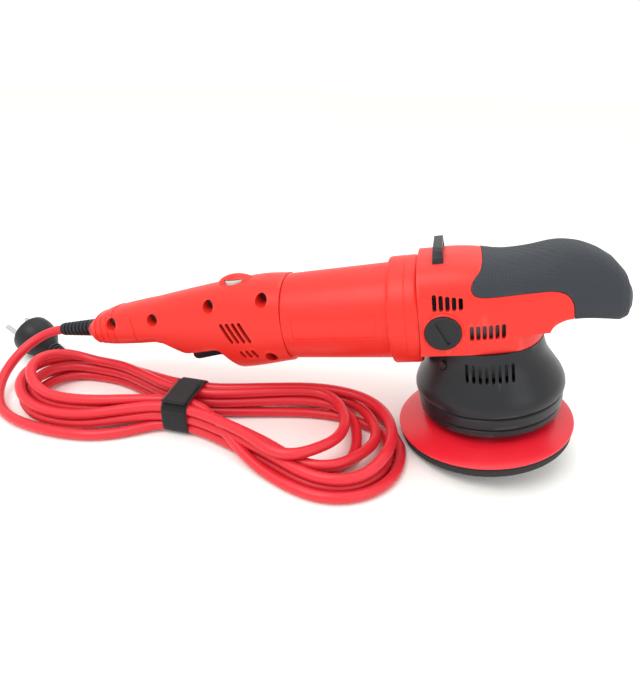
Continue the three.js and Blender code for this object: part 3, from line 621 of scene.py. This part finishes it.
def carve(bm, *tools, operation="DIFFERENCE"):
    """Cuts, joins or meets a bmesh with others and returns the result; all of them are used up."""
    objects = []
    for shape in (bm, *tools):
        mesh = bpy.data.meshes.new("work")
        bmesh.ops.recalc_face_normals(shape, faces=shape.faces)
        shape.to_mesh(mesh)
        shape.free()
        objects.append(bpy.data.objects.new("work", mesh))
        scene.collection.objects.link(objects[-1])
    body = objects[0]
    for tool in objects[1:]:
        step = body.modifiers.new("step", "BOOLEAN")
        step.operation = operation
        step.solver = "EXACT"
        step.object = tool
    solved = body.evaluated_get(bpy.context.evaluated_depsgraph_get())
    result = bmesh.new()
    result.from_mesh(solved.to_mesh())
    solved.to_mesh_clear()
    for shape in objects:
        mesh = shape.data
        bpy.data.objects.remove(shape)
        bpy.data.meshes.remove(mesh)
    bmesh.ops.remove_doubles(result, verts=result.verts, dist=0.002)
    bmesh.ops.dissolve_degenerate(result, edges=result.edges, dist=0.002)
    return result


glass_filled = finish_material("black glass-filled nylon", (0.01, 0.011, 0.014), 0.34, 1200, 0.025,
                               rubbed=(0.08, 0.08, 0.09), mottle=0.2, wear=0.6, specular=0.35)
SHROUD_OUTSIDE = [[49.2, 20.5], [50, 21.3], [50, 25], [48.7, 26.1], [48.7, 26.7], [51, 27.9], [51.2, 31],
                  [51, 34.4], [49.6, 35.6], [49.6, 36.2], [52, 37.6], [52.3, 39.5], [52.1, 42], [51.3, 44.5],
                  [49.8, 48], [46.9, 52.6], [43.5, 58], [41.2, 62], [39.5, 66], [38.1, 71], [37.2, 76.7]]
SHROUD_INSIDE = [[31.5, 76.7], [31.5, 72.2], [35, 72.2], [38, 63], [42, 56], [46.8, 48], [46.8, 20.5]]
bell = turned(SHROUD_OUTSIDE + SHROUD_INSIDE, 144)
cutters = [prism(slot_outline(-14.6 + 4.15 * i, 58.6, 70, 2.1), -60, -30) for i in range(8)]
SCREW_TURN = math.radians(139)
SCREW_Z = 65
for side in (1, -1):
    seat = turned([[0, 30], [1.8, 30], [1.8, 38.6], [3.5, 38.6], [3.5, 48], [0, 48]], 32, (1, 0, 0))
    to_seat = Matrix.Rotation(side * SCREW_TURN, 3, "Z")
    bmesh.ops.rotate(seat, verts=seat.verts, cent=(0, 0, 0), matrix=to_seat)
    bmesh.ops.translate(seat, verts=seat.verts, vec=(0, 0, SCREW_Z))
    cutters.append(seat)
bell = placed(carve(bell, *cutters), "shroud_bell", sharp=32, bevel=0.35)
dress(bell, glass_filled, "black_plastic", "machine", "shroud")


# ---------------------------------------------------------------- head cover and front grip
# The cover of the gear head and its nose is one red moulding with two rows of vents and a round seat on
# each side; a soft rubber grip is moulded over the nose and runs back along the top.
# Each station is x, half the width, the top and the bottom.
HEAD_STATIONS = [[-43.85, 36.5, 138.3, 40], [-32, 36.5, 138.3, 40], [-20, 36.5, 138.3, 40],
                 [-6, 36.3, 136.8, 42], [10, 34.6, 134, 48], [26, 32, 134.8, 60], [44, 29.8, 137.5, 80],
                 [57, 28.8, 135.6, 91], [68, 27.4, 130.6, 90.5], [77, 24.8, 124, 88.5],
                 [83, 20.5, 116.5, 90], [86.5, 12, 108, 92]]
MOTOR_Z = 97.5
HEAD_SQUARENESS = 2.8            # 2 is an ellipse, and more is squarer


def lofted(stations, power, inset=0.0, sides=80, rows=5, nose=False):
    """A closed body along X: a circle is carried from station to station and squared off at each. rows are
    the steps from one station to the next, and nose adds a rounded front end."""
    fine = []
    ends = [stations[0], *stations, stations[-1]]
    for p0, p1, p2, p3 in zip(ends, ends[1:], ends[2:], ends[3:]):
        for i in range(rows):
            t = i / rows
            fine.append([p1[0] + (p2[0] - p1[0]) * t] + [
                ((2 * b) + (c - a) * t + (2 * a - 5 * b + 4 * c - d) * t * t
                 + (3 * b - a - 3 * c + d) * t**3) / 2
                for a, b, c, d in zip(p0[1:], p1[1:], p2[1:], p3[1:])])
    fine.append(list(stations[-1]))
    if nose:
        x, half, top, bottom = fine[-1]
        middle = MOTOR_Z + 1
        for share in (0.85, 0.65, 0.4, 0.2):
            bulge = 1.6 * math.sqrt(1 - share * share)
            fine.append([x + bulge, half * share, middle + (top - middle) * share,
                         middle + (bottom - middle) * share])
    bm = bmesh.new()
    made = bmesh.ops.create_circle(bm, cap_ends=True, radius=1, segments=sides,
                                   matrix=Matrix.Rotation(math.pi / 2, 4, "Y"))
    edges = list(bm.edges)
    rings = [made["verts"]]
    for _ in fine[1:]:
        grown = bmesh.ops.extrude_edge_only(bm, edges=edges)["geom"]
        ring = [v for v in grown if isinstance(v, bmesh.types.BMVert)]
        edges = [e for e in grown if isinstance(e, bmesh.types.BMEdge) and all(v in ring for v in e.verts)]
        rings.append(ring)
    bmesh.ops.contextual_create(bm, geom=edges)
    for ring, (x, half, top, bottom) in zip(rings, fine):
        waist = min(max(MOTOR_Z, bottom + inset + 1), top - inset - 1)
        for v in ring:
            y, z = v.co.y, v.co.z
            across = math.copysign(abs(y) ** (2 / power), y) * (half - inset)
            up = math.copysign(abs(z) ** (2 / power), z)
            v.co = (x, across, waist + up * ((top - inset - waist) if up > 0 else (waist - bottom - inset)))
    bmesh.ops.recalc_face_normals(bm, faces=bm.faces)
    return bm


def nose_underside(raised=0.0):
    """All that lies below the nose's arched underside, or below a line raised above it."""
    nose_line = smooth_line([(36.8, 0, 86), (37.8, 0, 90), (40.5, 0, 93.4), (46, 0, 96), (54, 0, 96.8),
                             (63, 0, 96), (72, 0, 94), (79, 0, 91.4)], 1.5)
    return prism([[36.8, 50], *[[p.x, p.z + raised] for p in nose_line], [79, 50]], -50, 50)


def head_body(inset=0.0):
    """The outside of the head and nose, cut round over the shroud."""
    body = lofted(HEAD_STATIONS, HEAD_SQUARENESS, inset, nose=True)
    corner = carve(block((0, -45, 60), (60, 45, 88)), turned([[0, 50], [36.8, 50], [36.8, 95], [0, 95]], 120))
    return carve(body, block((-60, -50, 30), (110, 50, 77)), corner, nose_underside())


# The line in which the rubber meets the red, seen from the side.
GRIP_EDGE = [(-7, 150), (-3.4, 143), (-2.4, 137), (-4.4, 131), (-8.8, 126.5), (-10.4, 122), (-8.6, 118),
             (-3.5, 116.2), (4, 115.8), (16, 115.8), (28, 115.8), (39, 115.4), (46, 112.5), (49.5, 107),
             (50.5, 99), (50.5, 80)]


def grip_region(gap):
    """All that lies in front of and above the grip's edge, less a gap."""
    line = smooth_line([(x + gap, 0, z + gap) for x, z in GRIP_EDGE], 2.0)
    return prism([[p.x, p.z] for p in line] + [[110, 80], [110, 150]], -60, 60)


red_shell = finish_material("red nylon shell", (0.76, 0.026, 0.017), 0.4, 1100, 0.022,
                            rubbed=(0.85, 0.16, 0.12), mottle=0.09, wear=0.4, specular=0.35)


def head_core(inset):
    """The red core under the rubber, which ends short of the nose."""
    core = lofted(HEAD_STATIONS, HEAD_SQUARENESS, inset)
    bmesh.ops.translate(core, verts=core.verts, vec=(-2.5, 0, 0))
    return carve(core, nose_underside(inset))


def on_side(bm, side, x, z):
    """Turns a body of revolution outwards, to the right (-1) or the left (1), and moves it there."""
    bmesh.ops.rotate(bm, verts=bm.verts, cent=(0, 0, 0), matrix=Matrix.Rotation(-side * math.pi / 2, 3, "X"))
    bmesh.ops.translate(bm, verts=bm.verts, vec=(x, 0, z))
    return bm


RUBBER = 3.2                     # how far the grip goes into the outside of the head
GAP = 0.3
grip_hollow = carve(grip_region(0), head_core(RUBBER))
room_plan = [[-46, -33.5], [0, -33.5]]
room_plan += [[33.5 * math.sin(math.radians(a)), -33.5 * math.cos(math.radians(a))] for a in range(6, 175, 6)]
room_plan += [[0, 33.5], [-46, 33.5]]
room = lofted(HEAD_STATIONS, HEAD_SQUARENESS, 3.0)
room = carve(prism(room_plan, 75, 140, "Z"), room, operation="INTERSECT")
bmesh.ops.translate(room, verts=room.verts, vec=(-1.5, 0, 0))
CAP_X, CAP_Z = -28.7, 94.5
vents = [prism(slot_outline(-33.2 + 4.1 * i, 109, 120.2 - 0.7 * i, 2.7), -45, 45) for i in range(5)]
vents += [prism(slot_outline(-10.6 + 3.9 * i, 87.5, 98, 2.6), -45, 45) for i in range(6)]
cover = carve(head_body(), grip_hollow, room, rod(9.3, CAP_X, CAP_Z, -50, 50, 48), *vents)
for side in (-1, 1):
    ring = turned([[11.9, 35.6], [13.4, 35.6], [13.4, 36.9], [12.9, 37.5], [12.2, 37.5], [11.9, 37.1]], 96)
    cover = carve(cover, on_side(ring, side, CAP_X, CAP_Z), operation="UNION")
dress(placed(cover, "head_shell", sharp=30, bevel=0.45), red_shell, "red_shell", "machine", "head_cover")


def hatched(tree, position, height):
    """Fine curved hatching, cut into the mould in two crossing directions."""
    for direction, scale in (("X", 150.0), ("Z", 150.0), ("DIAGONAL", 90.0)):
        wave = add_node(tree, "ShaderNodeTexWave", bands_direction=direction, Scale=scale, Distortion=2.0)
        wave.inputs["Detail Scale"].default_value = 0.4
        tree.links.new(position, wave.inputs["Vector"])
        height = mathed(tree, "ADD", height, wave.outputs["Fac"])
    return height


rubber = finish_material("grip rubber", (0.026, 0.031, 0.04), 0.6, 1500, 0.11,
                         rubbed=(0.1, 0.11, 0.13), mottle=0.15, wear=0.3, specular=0.35, pattern=hatched)
grip = carve(head_body(-0.25), grip_region(0.35), operation="INTERSECT")
grip = carve(grip, head_core(RUBBER - GAP))
dress(placed(grip, "nose_grip", sharp=30, bevel=0.5), rubber, "grip_rubber", "machine", "front_grip")


# ---------------------------------------------------------------- rest bail and side caps
# A low black arch over the head keeps the machine off the bench when it is laid on its back. A round black
# cap with a driver slot closes the threaded seat for the side handle on each side.
BAIL_X = -31
arch_outline = softened([[-19.5, 120], [-19.5, 137], [-15.5, 145.4], [15.5, 145.4], [19.5, 137], [19.5, 120]],
                        0.28, 4)
arch_outline += softened([[15, 120], [15, 136.6], [12.6, 141.4], [-12.6, 141.4], [-15, 136.6], [-15, 120]],
                         0.28, 4)
arch = prism(arch_outline, -4, 4, "Z")
bmesh.ops.rotate(arch, verts=arch.verts, cent=(0, 0, 0), matrix=Matrix.Rotation(math.pi / 2, 3, "X"))
bmesh.ops.rotate(arch, verts=arch.verts, cent=(0, 0, 0), matrix=Matrix.Rotation(math.pi / 2, 3, "Z"))
bmesh.ops.translate(arch, verts=arch.verts, vec=(BAIL_X, 0, 0))
for v in arch.verts:
    if v.co.z > 130:                 # it narrows towards its top and leans forward
        v.co.x = BAIL_X + (v.co.x - BAIL_X) * (1 - 0.28 * (v.co.z - 130) / 15.5) + 0.8
bail = placed(carve(arch, lofted(HEAD_STATIONS, HEAD_SQUARENESS, -0.2)), "bail_arch", sharp=35, bevel=0.6)
dress(bail, black_plastic, "black_plastic", "machine", "rest_bail")

for name, side in (("right", -1), ("left", 1)):
    cap = turned([[0, 32], [9, 32], [9, 37.0], [11.4, 37.0], [11.7, 37.4], [11.6, 38.2], [11.0, 38.6],
                  [9.6, 38.6], [9.2, 38.45], [0, 38.45]], 96)
    slit = block((-1.1, -8.4, 37.4), (1.1, 8.4, 40))
    bmesh.ops.rotate(slit, verts=slit.verts, cent=(0, 0, 0), matrix=Matrix.Rotation(side * -0.46, 3, "Z"))
    cap = on_side(carve(cap, slit), side, CAP_X, CAP_Z)
    dress(placed(cap, f"cap_{name}", sharp=20), black_plastic, "black_plastic", "machine",
          f"side_cap_{name}")


# ---------------------------------------------------------------- motor housing
# The barrel over the motor is a red moulding, slightly tapered to the rear, with a stepped collar that the
# head is screwed to and a plain raised label panel on each side.
barrel_profile = [[29.6, -140.85], [31.9, -140.85], [32.2, -140.5], [34.7, -65.2], [35.2, -64.7],
                  [37.6, -64.2], [38.2, -63.4], [38.5, -62], [38.5, -53.2], [38.25, -52.9], [38.25, -52.5],
                  [38.5, -52.2], [38.5, -46.6], [38.0, -45], [37.4, -44.15], [18, -44.15], [18, -50],
                  [29.6, -50]]


def panel_frame(y0, y1):
    """The rim of the label panel, cut right through from y0 to y1."""
    outer = prism(softened([[-134, 92], [-134, 108.8], [-73, 108.8], [-73, 91], [-134, 91]], 0.1)[1:],
                  y0, y1)
    inner = block((-132.8, y0 - 1, 92.2), (-74.2, y1 + 1, 107.6))
    return carve(outer, inner)


barrel = turned(barrel_profile, 144, (1, 0, 0))
skin_profile = [[30.5, -138], [32.75, -138], [34.95, -70], [30.5, -70]]
for y0, y1 in ((-45, -20), (20, 45)):
    skin_ring = turned(skin_profile, 144, (1, 0, 0))
    frame_ring = panel_frame(y0, y1)
    bmesh.ops.translate(frame_ring, verts=frame_ring.verts, vec=(0, 0, -MOTOR_Z))
    barrel = carve(barrel, carve(skin_ring, frame_ring, operation="INTERSECT"), operation="UNION")
bmesh.ops.translate(barrel, verts=barrel.verts, vec=(0, 0, MOTOR_Z))
dress(placed(barrel, "motor_barrel", sharp=28, bevel=0.25), red_shell, "red_shell", "machine",
      "motor_housing")


# ---------------------------------------------------------------- handle
# Two red shells that meet on the middle plane, screwed together from the right. They carry the trigger
# under the belly, the speed dial in a hood on top, cooling slots on the right and a ribbed rear end.
# Each station is x, half the width, the top and the bottom.
HANDLE_STATIONS = [[-141.15, 32, 130, 64.5], [-160, 31, 131, 61.5], [-181, 28.5, 129.6, 58.5],
                   [-200, 25.5, 127.6, 58], [-222, 22.5, 124.8, 62], [-240, 21, 122.2, 72],
                   [-254, 20.5, 120, 83], [-272, 20, 117.8, 83.5], [-298, 19.5, 113.8, 84],
                   [-311, 17.5, 109.5, 86], [-319, 11.5, 104, 90.5]]
HANDLE_SCREWS = [(-154.5, 120.5), (-155, 76), (-199, 117), (-251, 108), (-290, 106)]
DIAL_X = -181
LOCK_AT = (-219, 92)             # the lock button's x and z
HANDLE_ROUNDNESS = 2.3
RIB_RADIUS = 34
TAIL_Z = 97                      # the lead's height where it leaves the handle


def under_handle(wall):
    """All that lies under the handle: the finger room behind the trigger, or the same grown by a wall."""
    line = [[-182.5 + wall, 40], [-184 + wall, 59.5], [-198 + wall * 0.6, 83 + wall], [-232, 77 + wall],
            [-250, 88 + wall], [-262, 80], [-262, 40]]
    return prism(softened(line, 0.18, 4), -50, 50)


handle = carve(lofted(HANDLE_STATIONS, HANDLE_ROUNDNESS), under_handle(0))
hood = bmesh.new()
bmesh.ops.create_uvsphere(hood, u_segments=64, v_segments=32, radius=1,
                          matrix=Matrix.Translation((DIAL_X, 0, 126.5)) @ Matrix.Diagonal((15.5, 7.8, 8, 1)))
handle = carve(handle, hood, operation="UNION")
proud = lofted(HANDLE_STATIONS, HANDLE_ROUNDNESS, -0.45)
for i in range(7):
    x = -341 + 6.2 * i
    rib = carve(rod(RIB_RADIUS, x, 99, -40, 40, 96), rod(RIB_RADIUS - 1.1, x, 99, -41, 41, 96))
    rib = carve(rib, proud.copy(), operation="INTERSECT")
    rib = carve(rib, block((-320, -50, 88.5), (-268, 50, 111)), operation="INTERSECT")
    handle = carve(handle, rib, operation="UNION")
proud.free()
inside = carve(lofted(HANDLE_STATIONS, HANDLE_ROUNDNESS, 3.0, sides=48, rows=2), under_handle(3.0))
tail_bore = turned([[0, -330], [7.8, -330], [7.8, -313], [9.6, -313], [9.6, -306], [0, -306]], 48, (1, 0, 0))
bmesh.ops.translate(tail_bore, verts=tail_bore.verts, vec=(0, 0, TAIL_Z))
mouth = turned([[0, -150], [29.3, -150], [29.3, -130], [0, -130]], 64, (1, 0, 0))
bmesh.ops.translate(mouth, verts=mouth.verts, vec=(0, 0, MOTOR_Z))
dial_room = turned([[0, 125.4], [9.1, 125.4], [9.1, 131.6], [0, 131.6]], 48)
bmesh.ops.translate(dial_room, verts=dial_room.verts, vec=(DIAL_X, 0, 0))
hollow = carve(inside, *[rod(6.2, x, z, -50, 50) for x, z in HANDLE_SCREWS])
handle = carve(handle, hollow, tail_bore, mouth, dial_room, block((-233.5, -8.8, 60), (-200, 8.8, 80)),
               *[rod(1.9, x, z, -12, 12, 24) for x, z in HANDLE_SCREWS])
SEAM = 0.12                      # from the middle plane to each shell
right_shell = carve(handle, block((-400, -80, 0), (0, -SEAM, 200)), operation="INTERSECT")
left_shell = right_shell.copy()
bmesh.ops.scale(left_shell, vec=(1, -1, 1), verts=left_shell.verts)
bmesh.ops.reverse_faces(left_shell, faces=left_shell.faces)
left_shell = carve(left_shell, rod(4.4, *LOCK_AT, 10, 40))
seats = [rod(4.6, x, z, -60, -10) for x, z in HANDLE_SCREWS]
slots = [prism(slot_outline(-186.5 + 5.2 * i, 88 + 0.3 * i, 106 + 0.3 * i, 2.9, -0.42), -40, -12)
         for i in range(4)]
slots += [prism(slot_outline(-177.5 + 5.2 * i, 75.5, 82.5 + i * 0.6, 2.7, -0.42), -40, -12)
          for i in range(3)]
right_shell = carve(right_shell, *seats, *slots)
for name, shell in (("right", right_shell), ("left", left_shell)):
    dress(placed(shell, f"handle_{name}", sharp=32, bevel=0.3), red_shell, "red_shell", "machine",
          f"handle_shell_{name}")


# ---------------------------------------------------------------- trigger, lock button and dial
# The paddle trigger and the small lock button are moulded in black. The dial is a pale knurled wheel that
# stands out of its hood on both sides.
TRIGGER = [[-230.5, 70], [-229, 67.8], [-226, 67.3], [-216, 68.8], [-206, 70.4], [-201, 69.4],
           [-196, 65.2], [-192.5, 62.4], [-189.8, 61], [-189.4, 61.9], [-195, 68], [-203.4, 77.3],
           [-203.4, 80.5], [-206, 81.8], [-209, 81], [-212, 76.8], [-230.5, 76]]
lever = carve(prism(TRIGGER, -8, 8), rod(1.9, -204.5, 78.5, -20, 20, 24))
dress(placed(lever, "trigger_paddle", sharp=38, bevel=0.7), black_plastic, "black_plastic", "trigger_lever",
      "trigger")

button = on_side(turned([[0, 17], [4, 17], [4, 24.2], [3.6, 24.9], [2.4, 25.2], [0, 25.3]], 48), 1, *LOCK_AT)
dress(placed(button, "lock_pin_head", sharp=40), black_plastic, "black_plastic", "lock_pin", "lock_button")

pale = finish_material("pale dial", (0.55, 0.54, 0.5), 0.5, 1200, 0.02, rubbed=(0.8, 0.79, 0.76), wear=0.5)
knurled = []
for i in range(144):
    a = math.radians(2.5 * i)
    radius = 8.6 if i % 4 < 2 else 8.15
    knurled.append([radius * math.cos(a), radius * math.sin(a)])
wheel = prism(knurled, 126.9, 131, "Z")
bmesh.ops.translate(wheel, verts=wheel.verts, vec=(DIAL_X, 0, 0))
dress(placed(wheel, "dial_wheel_rim", sharp=40, bevel=0.25), pale, "pale_plastic", "dial_wheel", "speed_dial")


# ---------------------------------------------------------------- cord sleeve
# A black rubber strain relief, tapered and ribbed so that it bends evenly, held in the tail of the handle
# by its flange.
sleeve_profile = [[0, -308], [9.2, -308], [9.2, -312.5], [7.5, -312.5], [7.5, -321.5]]
for i in range(8):
    rib, x = 7.3 - 0.235 * i, -322 - 3.9 * i
    sleeve_profile += [[rib, x], [rib, x - 2.1], [rib - 1.0, x - 2.4], [rib - 1.0, x - 3.5]]
sleeve_profile += [[5.3, -353.3], [4.8, -354], [0, -354]]
sleeve = turned(sleeve_profile, 64, (1, 0, 0))
bmesh.ops.translate(sleeve, verts=sleeve.verts, vec=(0, 0, TAIL_Z))
dress(placed(sleeve, "sleeve_moulding", sharp=40), black_plastic, "black_plastic", "machine", "cord_sleeve")


# ---------------------------------------------------------------- inner works
# What the covers hide stays as the CAD has it, in turned steel, cast alloy, laminated iron, varnished
# copper, brass, carbon and black nylon. The screws are painted near-black, as painted shade in their
# recesses.
def banded(axis, scale, distortion=0.4):
    """Turning marks, laminations or windings, as waves along an axis."""
    def pattern(tree, position, height):
        wave = add_node(tree, "ShaderNodeTexWave", bands_direction=axis, Scale=scale, Distortion=distortion)
        tree.links.new(position, wave.inputs["Vector"])
        return mathed(tree, "ADD", height, wave.outputs["Fac"])
    return pattern


inner_finishes = {
    "steel": finish_material("turned steel", (0.5, 0.51, 0.53), 0.3, 2500, 0.01, metallic=1.0,
                             rubbed=(0.8, 0.8, 0.82), pattern=banded("Z", 900.0)),
    "cast_alloy": finish_material("cast alloy", (0.2, 0.2, 0.205), 0.55, 700, 0.06, metallic=0.9,
                                  rubbed=(0.5, 0.5, 0.5), mottle=0.2),
    "iron": finish_material("laminated iron", (0.07, 0.07, 0.075), 0.5, 900, 0.05, metallic=0.8,
                            rubbed=(0.4, 0.4, 0.4), mottle=0.3, pattern=banded("X", 500.0)),
    "copper": finish_material("varnished copper", (0.5, 0.18, 0.06), 0.35, 900, 0.1, metallic=0.9,
                              rubbed=(0.8, 0.4, 0.2), coat=0.4, pattern=banded("X", 350.0, 1.5)),
    "brass": finish_material("stamped brass", (0.6, 0.42, 0.14), 0.35, 1500, 0.02, metallic=1.0,
                             rubbed=(0.85, 0.7, 0.4)),
    "carbon": finish_material("pressed carbon", (0.02, 0.02, 0.022), 0.7, 1800, 0.04, mottle=0.3),
    "black_plastic": black_plastic,
}
# Near-black steel for the screws: painted shade that darkens the screw recesses.
painted_recess_shade = finish_material("blackened steel", (0.03, 0.03, 0.032), 0.45, 1500, 0.02, metallic=0.8,
                            rubbed=(0.2, 0.2, 0.2))
shown = {entry["node"]: entry["material_slot"] for entry in frame["record"]["subparts"]}
for node, slot in shown.items():
    if slot in inner_finishes:
        mesh = frame["nodes"][node].data
        mesh.materials.clear()
        # The screws take the near-black steel, which paints shade into their recesses.
        mesh.materials.append(painted_recess_shade if "screw" in node else inner_finishes[slot])

bpy.context.view_layer.update()
